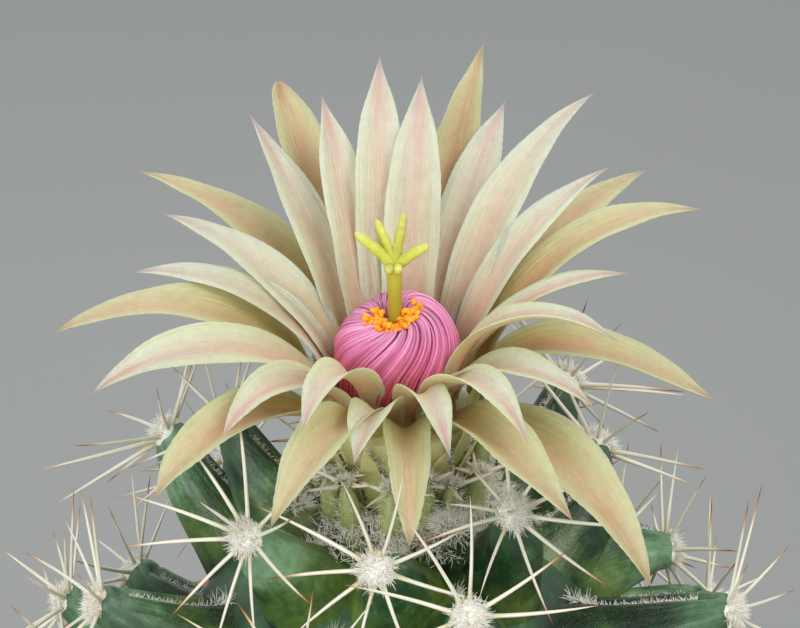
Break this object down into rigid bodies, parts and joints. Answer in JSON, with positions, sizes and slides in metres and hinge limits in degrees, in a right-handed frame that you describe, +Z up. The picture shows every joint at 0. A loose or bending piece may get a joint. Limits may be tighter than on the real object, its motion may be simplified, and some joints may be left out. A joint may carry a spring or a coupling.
{
  "type": "potted round cactus in flower",
  "caption": "Small round cactus with long grooved tubercles and spines, one large open flower on top, standing in soil in a plain clay pot.",
  "frame": {"origin": "middle of the pot's foot, on the surface that it stands on", "axes": "+Z up along the pot's axis; -Y is the front, the side that the flower's shorter tepals face"},
  "size_m": [0.104, 0.104, 0.164],
  "materials": {
    "clay": "unglazed fired clay",
    "soil": "gritty soil",
    "stem_skin": "smooth plant skin with pale spines and wool",
    "tube_skin": "ribbed plant skin",
    "filaments": "fine pink threads",
    "anthers": "powdery",
    "pistil": "smooth with a downy stigma",
    "inner_tepal": "thin petal, cream with a pink middle",
    "outer_tepal": "thin petal, pale olive with a tan middle"
  },
  "bodies": {
    "root": {"pot": "clay", "soil": "soil", "stem": "stem_skin", "floral_tube": "tube_skin", "filaments": "filaments", "anthers": "anthers", "pistil": "pistil", "inner_tepal_01": "inner_tepal", "inner_tepal_02": "inner_tepal", "inner_tepal_03": "inner_tepal", "inner_tepal_04": "inner_tepal", "inner_tepal_05": "inner_tepal", "inner_tepal_06": "inner_tepal", "inner_tepal_07": "inner_tepal", "inner_tepal_08": "inner_tepal", "inner_tepal_09": "inner_tepal", "inner_tepal_10": "inner_tepal", "inner_tepal_11": "inner_tepal", "inner_tepal_12": "inner_tepal", "inner_tepal_13": "inner_tepal", "inner_tepal_14": "inner_tepal", "inner_tepal_15": "inner_tepal", "inner_tepal_16": "inner_tepal", "inner_tepal_17": "inner_tepal", "inner_tepal_18": "inner_tepal", "outer_tepal_01": "outer_tepal", "outer_tepal_02": "outer_tepal", "outer_tepal_03": "outer_tepal", "outer_tepal_04": "outer_tepal", "outer_tepal_05": "outer_tepal", "outer_tepal_06": "outer_tepal", "outer_tepal_07": "outer_tepal", "outer_tepal_08": "outer_tepal", "outer_tepal_09": "outer_tepal", "outer_tepal_10": "outer_tepal", "outer_tepal_11": "outer_tepal", "outer_tepal_12": "outer_tepal"}
  },
  "joints": []
}
